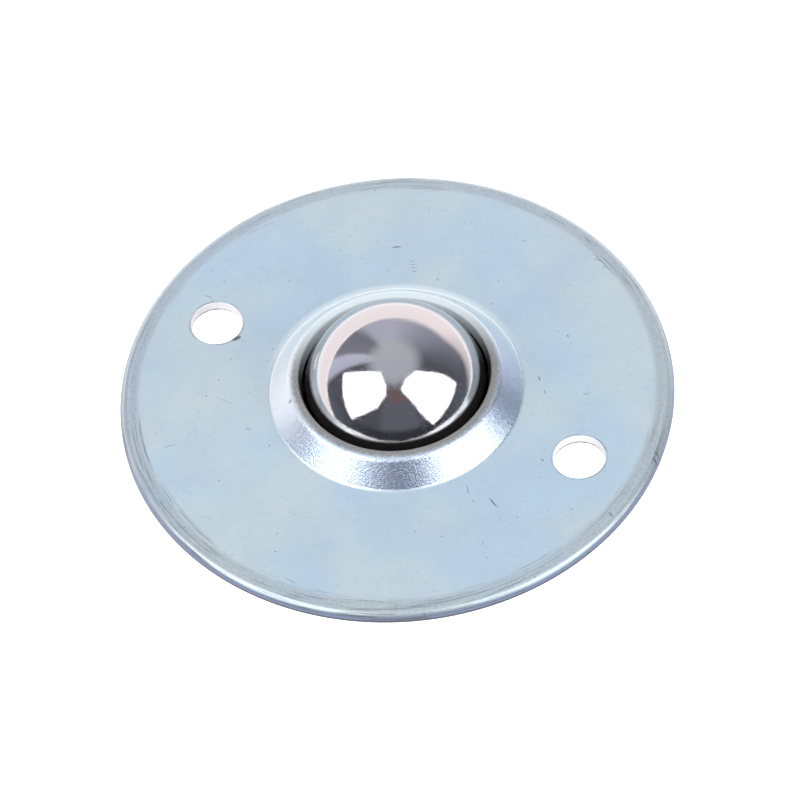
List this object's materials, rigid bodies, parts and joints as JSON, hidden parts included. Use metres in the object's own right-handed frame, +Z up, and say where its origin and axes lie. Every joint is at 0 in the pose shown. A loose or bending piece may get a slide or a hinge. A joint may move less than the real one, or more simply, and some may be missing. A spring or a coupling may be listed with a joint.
{
  "type": "ball transfer unit",
  "caption": "Flange-mounted ball transfer unit: a polished load ball turns on a nest of small balls inside a pressed steel housing with a round flange and fixing holes.",
  "frame": {"origin": "centre of the flange's flat underside, the plane that lies on the deck, on the axis of the load ball", "axes": "+Z up, out of the flange towards the load ball's crown; the two fixing holes stand on the X axis"},
  "size_m": [0.075, 0.075, 0.0317],
  "materials": {
    "zinc_plated_disc": "blue-white zinc plated pressed steel, satin",
    "zinc_plated_cup": "zinc plated deep-drawn steel, satin",
    "hardened_bowl": "hardened and oiled steel, smooth",
    "polished_load_ball": "polished bearing steel, mirror",
    "support_ball_steel": "polished bearing steel, mirror"
  },
  "bodies": {
    "root": {"flange_disc": "zinc_plated_disc", "housing_cup": "zinc_plated_cup", "race_bowl": "hardened_bowl"},
    "main_ball": {"main_ball": "polished_load_ball"},
    "support_ball_1": {"support_ball_1": "support_ball_steel"},
    "support_ball_2": {"support_ball_2": "support_ball_steel"},
    "support_ball_3": {"support_ball_3": "support_ball_steel"},
    "support_ball_4": {"support_ball_4": "support_ball_steel"},
    "support_ball_5": {"support_ball_5": "support_ball_steel"},
    "support_ball_6": {"support_ball_6": "support_ball_steel"},
    "support_ball_7": {"support_ball_7": "support_ball_steel"},
    "support_ball_8": {"support_ball_8": "support_ball_steel"},
    "support_ball_9": {"support_ball_9": "support_ball_steel"},
    "support_ball_10": {"support_ball_10": "support_ball_steel"},
    "support_ball_11": {"support_ball_11": "support_ball_steel"},
    "support_ball_12": {"support_ball_12": "support_ball_steel"},
    "support_ball_13": {"support_ball_13": "support_ball_steel"},
    "support_ball_14": {"support_ball_14": "support_ball_steel"},
    "support_ball_15": {"support_ball_15": "support_ball_steel"},
    "support_ball_16": {"support_ball_16": "support_ball_steel"},
    "support_ball_17": {"support_ball_17": "support_ball_steel"},
    "support_ball_18": {"support_ball_18": "support_ball_steel"},
    "support_ball_19": {"support_ball_19": "support_ball_steel"},
    "support_ball_20": {"support_ball_20": "support_ball_steel"},
    "support_ball_21": {"support_ball_21": "support_ball_steel"},
    "support_ball_22": {"support_ball_22": "support_ball_steel"},
    "support_ball_23": {"support_ball_23": "support_ball_steel"},
    "support_ball_24": {"support_ball_24": "support_ball_steel"},
    "support_ball_25": {"support_ball_25": "support_ball_steel"},
    "support_ball_26": {"support_ball_26": "support_ball_steel"},
    "support_ball_27": {"support_ball_27": "support_ball_steel"},
    "support_ball_28": {"support_ball_28": "support_ball_steel"},
    "support_ball_29": {"support_ball_29": "support_ball_steel"},
    "support_ball_30": {"support_ball_30": "support_ball_steel"},
    "support_ball_31": {"support_ball_31": "support_ball_steel"},
    "support_ball_32": {"support_ball_32": "support_ball_steel"},
    "support_ball_33": {"support_ball_33": "support_ball_steel"},
    "support_ball_34": {"support_ball_34": "support_ball_steel"},
    "support_ball_35": {"support_ball_35": "support_ball_steel"},
    "support_ball_36": {"support_ball_36": "support_ball_steel"},
    "support_ball_37": {"support_ball_37": "support_ball_steel"},
    "support_ball_38": {"support_ball_38": "support_ball_steel"},
    "support_ball_39": {"support_ball_39": "support_ball_steel"},
    "support_ball_40": {"support_ball_40": "support_ball_steel"},
    "support_ball_41": {"support_ball_41": "support_ball_steel"},
    "support_ball_42": {"support_ball_42": "support_ball_steel"},
    "support_ball_43": {"support_ball_43": "support_ball_steel"},
    "support_ball_44": {"support_ball_44": "support_ball_steel"},
    "support_ball_45": {"support_ball_45": "support_ball_steel"},
    "support_ball_46": {"support_ball_46": "support_ball_steel"},
    "support_ball_47": {"support_ball_47": "support_ball_steel"},
    "support_ball_48": {"support_ball_48": "support_ball_steel"},
    "support_ball_49": {"support_ball_49": "support_ball_steel"},
    "support_ball_50": {"support_ball_50": "support_ball_steel"},
    "support_ball_51": {"support_ball_51": "support_ball_steel"},
    "support_ball_52": {"support_ball_52": "support_ball_steel"},
    "support_ball_53": {"support_ball_53": "support_ball_steel"},
    "support_ball_54": {"support_ball_54": "support_ball_steel"},
    "support_ball_55": {"support_ball_55": "support_ball_steel"}
  },
  "joints": [
    {"name": "main_ball_roll", "type": "hinge", "parent": "root", "child": "main_ball", "pos_m": [0, 0, 0.0007], "axis": [0, 1, 0], "continuous": true},
    {"name": "support_ball_1_roll", "type": "hinge", "parent": "root", "child": "support_ball_1", "pos_m": [0, 0, -0.01403], "axis": [0, 1, 0], "continuous": true},
    {"name": "support_ball_2_roll", "type": "hinge", "parent": "root", "child": "support_ball_2", "pos_m": [0.00356, 0.00205, -0.01345], "axis": [-0.034, 0.9902, 0.1352], "continuous": true},
    {"name": "support_ball_3_roll", "type": "hinge", "parent": "root", "child": "support_ball_3", "pos_m": [0, 0.00411, -0.01345], "axis": [0, 0.9603, 0.2788], "continuous": true},
    {"name": "support_ball_4_roll", "type": "hinge", "parent": "root", "child": "support_ball_4", "pos_m": [-0.00356, 0.00205, -0.01345], "axis": [0.034, 0.9902, 0.1352], "continuous": true},
    {"name": "support_ball_5_roll", "type": "hinge", "parent": "root", "child": "support_ball_5", "pos_m": [-0.00356, -0.00205, -0.01345], "axis": [-0.034, 0.9902, -0.1352], "continuous": true},
    {"name": "support_ball_6_roll", "type": "hinge", "parent": "root", "child": "support_ball_6", "pos_m": [0, -0.00411, -0.01345], "axis": [0, 0.9603, -0.2788], "continuous": true},
    {"name": "support_ball_7_roll", "type": "hinge", "parent": "root", "child": "support_ball_7", "pos_m": [0.00356, -0.00205, -0.01345], "axis": [0.034, 0.9902, -0.1352], "continuous": true},
    {"name": "support_ball_8_roll", "type": "hinge", "parent": "root", "child": "support_ball_8", "pos_m": [0.00683, 0.00395, -0.01174], "axis": [-0.1289, 0.9635, 0.2347], "continuous": true},
    {"name": "support_ball_9_roll", "type": "hinge", "parent": "root", "child": "support_ball_9", "pos_m": [0.00395, 0.00683, -0.01174], "axis": [-0.1402, 0.8859, 0.4421], "continuous": true},
    {"name": "support_ball_10_roll", "type": "hinge", "parent": "root", "child": "support_ball_10", "pos_m": [0, 0.00789, -0.01174], "axis": [0, 0.8445, 0.5356], "continuous": true},
    {"name": "support_ball_11_roll", "type": "hinge", "parent": "root", "child": "support_ball_11", "pos_m": [-0.00395, 0.00683, -0.01174], "axis": [0.1402, 0.8859, 0.4421], "continuous": true},
    {"name": "support_ball_12_roll", "type": "hinge", "parent": "root", "child": "support_ball_12", "pos_m": [-0.00683, 0.00395, -0.01174], "axis": [0.1289, 0.9635, 0.2347], "continuous": true},
    {"name": "support_ball_13_roll", "type": "hinge", "parent": "root", "child": "support_ball_13", "pos_m": [-0.00789, 0, -0.01174], "axis": [0, 1, 0], "continuous": true},
    {"name": "support_ball_14_roll", "type": "hinge", "parent": "root", "child": "support_ball_14", "pos_m": [-0.00683, -0.00395, -0.01174], "axis": [-0.1289, 0.9635, -0.2347], "continuous": true},
    {"name": "support_ball_15_roll", "type": "hinge", "parent": "root", "child": "support_ball_15", "pos_m": [-0.00395, -0.00683, -0.01174], "axis": [-0.1402, 0.8859, -0.4421], "continuous": true},
    {"name": "support_ball_16_roll", "type": "hinge", "parent": "root", "child": "support_ball_16", "pos_m": [0, -0.00789, -0.01174], "axis": [0, 0.8445, -0.5356], "continuous": true},
    {"name": "support_ball_17_roll", "type": "hinge", "parent": "root", "child": "support_ball_17", "pos_m": [0.00395, -0.00683, -0.01174], "axis": [0.1402, 0.8859, -0.4421], "continuous": true},
    {"name": "support_ball_18_roll", "type": "hinge", "parent": "root", "child": "support_ball_18", "pos_m": [0.00683, -0.00395, -0.01174], "axis": [0.1289, 0.9635, -0.2347], "continuous": true},
    {"name": "support_ball_19_roll", "type": "hinge", "parent": "root", "child": "support_ball_19", "pos_m": [0.00789, 0, -0.01174], "axis": [0, 1, 0], "continuous": true},
    {"name": "support_ball_20_roll", "type": "hinge", "parent": "root", "child": "support_ball_20", "pos_m": [0.00919, 0.00614, -0.00905], "axis": [-0.2857, 0.9091, 0.3032], "continuous": true},
    {"name": "support_ball_21_roll", "type": "hinge", "parent": "root", "child": "support_ball_21", "pos_m": [0.00614, 0.00919, -0.00905], "axis": [-0.3321, 0.7819, 0.5276], "continuous": true},
    {"name": "support_ball_22_roll", "type": "hinge", "parent": "root", "child": "support_ball_22", "pos_m": [0.00216, 0.01084, -0.00905], "axis": [-0.1587, 0.6777, 0.718], "continuous": true},
    {"name": "support_ball_23_roll", "type": "hinge", "parent": "root", "child": "support_ball_23", "pos_m": [-0.00216, 0.01084, -0.00905], "axis": [0.1587, 0.6777, 0.718], "continuous": true},
    {"name": "support_ball_24_roll", "type": "hinge", "parent": "root", "child": "support_ball_24", "pos_m": [-0.00614, 0.00919, -0.00905], "axis": [0.3321, 0.7819, 0.5276], "continuous": true},
    {"name": "support_ball_25_roll", "type": "hinge", "parent": "root", "child": "support_ball_25", "pos_m": [-0.00919, 0.00614, -0.00905], "axis": [0.2857, 0.9091, 0.3032], "continuous": true},
    {"name": "support_ball_26_roll", "type": "hinge", "parent": "root", "child": "support_ball_26", "pos_m": [-0.01084, 0.00216, -0.00905], "axis": [0.1087, 0.9892, 0.0978], "continuous": true},
    {"name": "support_ball_27_roll", "type": "hinge", "parent": "root", "child": "support_ball_27", "pos_m": [-0.01084, -0.00216, -0.00905], "axis": [-0.1087, 0.9892, -0.0978], "continuous": true},
    {"name": "support_ball_28_roll", "type": "hinge", "parent": "root", "child": "support_ball_28", "pos_m": [-0.00919, -0.00614, -0.00905], "axis": [-0.2857, 0.9091, -0.3032], "continuous": true},
    {"name": "support_ball_29_roll", "type": "hinge", "parent": "root", "child": "support_ball_29", "pos_m": [-0.00614, -0.00919, -0.00905], "axis": [-0.3321, 0.7819, -0.5276], "continuous": true},
    {"name": "support_ball_30_roll", "type": "hinge", "parent": "root", "child": "support_ball_30", "pos_m": [-0.00216, -0.01084, -0.00905], "axis": [-0.1587, 0.6777, -0.718], "continuous": true},
    {"name": "support_ball_31_roll", "type": "hinge", "parent": "root", "child": "support_ball_31", "pos_m": [0.00216, -0.01084, -0.00905], "axis": [0.1587, 0.6777, -0.718], "continuous": true},
    {"name": "support_ball_32_roll", "type": "hinge", "parent": "root", "child": "support_ball_32", "pos_m": [0.00614, -0.00919, -0.00905], "axis": [0.3321, 0.7819, -0.5276], "continuous": true},
    {"name": "support_ball_33_roll", "type": "hinge", "parent": "root", "child": "support_ball_33", "pos_m": [0.00919, -0.00614, -0.00905], "axis": [0.2857, 0.9091, -0.3032], "continuous": true},
    {"name": "support_ball_34_roll", "type": "hinge", "parent": "root", "child": "support_ball_34", "pos_m": [0.01084, -0.00216, -0.00905], "axis": [0.1087, 0.9892, -0.0978], "continuous": true},
    {"name": "support_ball_35_roll", "type": "hinge", "parent": "root", "child": "support_ball_35", "pos_m": [0.01084, 0.00216, -0.00905], "axis": [-0.1087, 0.9892, 0.0978], "continuous": true},
    {"name": "support_ball_36_roll", "type": "hinge", "parent": "root", "child": "support_ball_36", "pos_m": [0.01078, 0.00783, -0.00558], "axis": [-0.4594, 0.8469, 0.2677], "continuous": true},
    {"name": "support_ball_37_roll", "type": "hinge", "parent": "root", "child": "support_ball_37", "pos_m": [0.00783, 0.01078, -0.00558], "axis": [-0.5709, 0.6815, 0.4578], "continuous": true},
    {"name": "support_ball_38_roll", "type": "hinge", "parent": "root", "child": "support_ball_38", "pos_m": [0.00412, 0.01268, -0.00558], "axis": [-0.4717, 0.5098, 0.7195], "continuous": true},
    {"name": "support_ball_39_roll", "type": "hinge", "parent": "root", "child": "support_ball_39", "pos_m": [0, 0.01333, -0.00558], "axis": [0, 0.4264, 0.9045], "continuous": true},
    {"name": "support_ball_40_roll", "type": "hinge", "parent": "root", "child": "support_ball_40", "pos_m": [-0.00412, 0.01268, -0.00558], "axis": [0.4717, 0.5098, 0.7195], "continuous": true},
    {"name": "support_ball_41_roll", "type": "hinge", "parent": "root", "child": "support_ball_41", "pos_m": [-0.00783, 0.01078, -0.00558], "axis": [0.5709, 0.6815, 0.4578], "continuous": true},
    {"name": "support_ball_42_roll", "type": "hinge", "parent": "root", "child": "support_ball_42", "pos_m": [-0.01078, 0.00783, -0.00558], "axis": [0.4594, 0.8469, 0.2677], "continuous": true},
    {"name": "support_ball_43_roll", "type": "hinge", "parent": "root", "child": "support_ball_43", "pos_m": [-0.01268, 0.00412, -0.00558], "axis": [0.2504, 0.9601, 0.1241], "continuous": true},
    {"name": "support_ball_44_roll", "type": "hinge", "parent": "root", "child": "support_ball_44", "pos_m": [-0.01333, 0, -0.00558], "axis": [0, 1, 0], "continuous": true},
    {"name": "support_ball_45_roll", "type": "hinge", "parent": "root", "child": "support_ball_45", "pos_m": [-0.01268, -0.00412, -0.00558], "axis": [-0.2504, 0.9601, -0.1241], "continuous": true},
    {"name": "support_ball_46_roll", "type": "hinge", "parent": "root", "child": "support_ball_46", "pos_m": [-0.01078, -0.00783, -0.00558], "axis": [-0.4594, 0.8469, -0.2677], "continuous": true},
    {"name": "support_ball_47_roll", "type": "hinge", "parent": "root", "child": "support_ball_47", "pos_m": [-0.00783, -0.01078, -0.00558], "axis": [-0.5709, 0.6815, -0.4578], "continuous": true},
    {"name": "support_ball_48_roll", "type": "hinge", "parent": "root", "child": "support_ball_48", "pos_m": [-0.00412, -0.01268, -0.00558], "axis": [-0.4717, 0.5098, -0.7195], "continuous": true},
    {"name": "support_ball_49_roll", "type": "hinge", "parent": "root", "child": "support_ball_49", "pos_m": [0, -0.01333, -0.00558], "axis": [0, 0.4264, -0.9045], "continuous": true},
    {"name": "support_ball_50_roll", "type": "hinge", "parent": "root", "child": "support_ball_50", "pos_m": [0.00412, -0.01268, -0.00558], "axis": [0.4717, 0.5098, -0.7195], "continuous": true},
    {"name": "support_ball_51_roll", "type": "hinge", "parent": "root", "child": "support_ball_51", "pos_m": [0.00783, -0.01078, -0.00558], "axis": [0.5709, 0.6815, -0.4578], "continuous": true},
    {"name": "support_ball_52_roll", "type": "hinge", "parent": "root", "child": "support_ball_52", "pos_m": [0.01078, -0.00783, -0.00558], "axis": [0.4594, 0.8469, -0.2677], "continuous": true},
    {"name": "support_ball_53_roll", "type": "hinge", "parent": "root", "child": "support_ball_53", "pos_m": [0.01268, -0.00412, -0.00558], "axis": [0.2504, 0.9601, -0.1241], "continuous": true},
    {"name": "support_ball_54_roll", "type": "hinge", "parent": "root", "child": "support_ball_54", "pos_m": [0.01333, 0, -0.00558], "axis": [0, 1, 0], "continuous": true},
    {"name": "support_ball_55_roll", "type": "hinge", "parent": "root", "child": "support_ball_55", "pos_m": [0.01268, 0.00412, -0.00558], "axis": [-0.2504, 0.9601, 0.1241], "continuous": true}
  ],
  "couplings": [
    {"joint": "support_ball_1_roll", "follows": "main_ball_roll", "ratio": -6.3996},
    {"joint": "support_ball_2_roll", "follows": "main_ball_roll", "ratio": -6.3371},
    {"joint": "support_ball_3_roll", "follows": "main_ball_roll", "ratio": -6.1458},
    {"joint": "support_ball_4_roll", "follows": "main_ball_roll", "ratio": -6.3371},
    {"joint": "support_ball_5_roll", "follows": "main_ball_roll", "ratio": -6.3371},
    {"joint": "support_ball_6_roll", "follows": "main_ball_roll", "ratio": -6.1458},
    {"joint": "support_ball_7_roll", "follows": "main_ball_roll", "ratio": -6.3371},
    {"joint": "support_ball_8_roll", "follows": "main_ball_roll", "ratio": -6.1659},
    {"joint": "support_ball_9_roll", "follows": "main_ball_roll", "ratio": -5.6697},
    {"joint": "support_ball_10_roll", "follows": "main_ball_roll", "ratio": -5.4045},
    {"joint": "support_ball_11_roll", "follows": "main_ball_roll", "ratio": -5.6697},
    {"joint": "support_ball_12_roll", "follows": "main_ball_roll", "ratio": -6.1659},
    {"joint": "support_ball_13_roll", "follows": "main_ball_roll", "ratio": -6.3996},
    {"joint": "support_ball_14_roll", "follows": "main_ball_roll", "ratio": -6.1659},
    {"joint": "support_ball_15_roll", "follows": "main_ball_roll", "ratio": -5.6697},
    {"joint": "support_ball_16_roll", "follows": "main_ball_roll", "ratio": -5.4045},
    {"joint": "support_ball_17_roll", "follows": "main_ball_roll", "ratio": -5.6697},
    {"joint": "support_ball_18_roll", "follows": "main_ball_roll", "ratio": -6.1659},
    {"joint": "support_ball_19_roll", "follows": "main_ball_roll", "ratio": -6.3996},
    {"joint": "support_ball_20_roll", "follows": "main_ball_roll", "ratio": -5.8179},
    {"joint": "support_ball_21_roll", "follows": "main_ball_roll", "ratio": -5.0037},
    {"joint": "support_ball_22_roll", "follows": "main_ball_roll", "ratio": -4.3367},
    {"joint": "support_ball_23_roll", "follows": "main_ball_roll", "ratio": -4.3367},
    {"joint": "support_ball_24_roll", "follows": "main_ball_roll", "ratio": -5.0037},
    {"joint": "support_ball_25_roll", "follows": "main_ball_roll", "ratio": -5.8179},
    {"joint": "support_ball_26_roll", "follows": "main_ball_roll", "ratio": -6.3308},
    {"joint": "support_ball_27_roll", "follows": "main_ball_roll", "ratio": -6.3308},
    {"joint": "support_ball_28_roll", "follows": "main_ball_roll", "ratio": -5.8179},
    {"joint": "support_ball_29_roll", "follows": "main_ball_roll", "ratio": -5.0037},
    {"joint": "support_ball_30_roll", "follows": "main_ball_roll", "ratio": -4.3367},
    {"joint": "support_ball_31_roll", "follows": "main_ball_roll", "ratio": -4.3367},
    {"joint": "support_ball_32_roll", "follows": "main_ball_roll", "ratio": -5.0037},
    {"joint": "support_ball_33_roll", "follows": "main_ball_roll", "ratio": -5.8179},
    {"joint": "support_ball_34_roll", "follows": "main_ball_roll", "ratio": -6.3308},
    {"joint": "support_ball_35_roll", "follows": "main_ball_roll", "ratio": -6.3308},
    {"joint": "support_ball_36_roll", "follows": "main_ball_roll", "ratio": -5.4201},
    {"joint": "support_ball_37_roll", "follows": "main_ball_roll", "ratio": -4.3615},
    {"joint": "support_ball_38_roll", "follows": "main_ball_roll", "ratio": -3.2627},
    {"joint": "support_ball_39_roll", "follows": "main_ball_roll", "ratio": -2.7286},
    {"joint": "support_ball_40_roll", "follows": "main_ball_roll", "ratio": -3.2627},
    {"joint": "support_ball_41_roll", "follows": "main_ball_roll", "ratio": -4.3615},
    {"joint": "support_ball_42_roll", "follows": "main_ball_roll", "ratio": -5.4201},
    {"joint": "support_ball_43_roll", "follows": "main_ball_roll", "ratio": -6.1445},
    {"joint": "support_ball_44_roll", "follows": "main_ball_roll", "ratio": -6.3996},
    {"joint": "support_ball_45_roll", "follows": "main_ball_roll", "ratio": -6.1445},
    {"joint": "support_ball_46_roll", "follows": "main_ball_roll", "ratio": -5.4201},
    {"joint": "support_ball_47_roll", "follows": "main_ball_roll", "ratio": -4.3615},
    {"joint": "support_ball_48_roll", "follows": "main_ball_roll", "ratio": -3.2627},
    {"joint": "support_ball_49_roll", "follows": "main_ball_roll", "ratio": -2.7286},
    {"joint": "support_ball_50_roll", "follows": "main_ball_roll", "ratio": -3.2627},
    {"joint": "support_ball_51_roll", "follows": "main_ball_roll", "ratio": -4.3615},
    {"joint": "support_ball_52_roll", "follows": "main_ball_roll", "ratio": -5.4201},
    {"joint": "support_ball_53_roll", "follows": "main_ball_roll", "ratio": -6.1445},
    {"joint": "support_ball_54_roll", "follows": "main_ball_roll", "ratio": -6.3996},
    {"joint": "support_ball_55_roll", "follows": "main_ball_roll", "ratio": -6.1445}
  ]
}
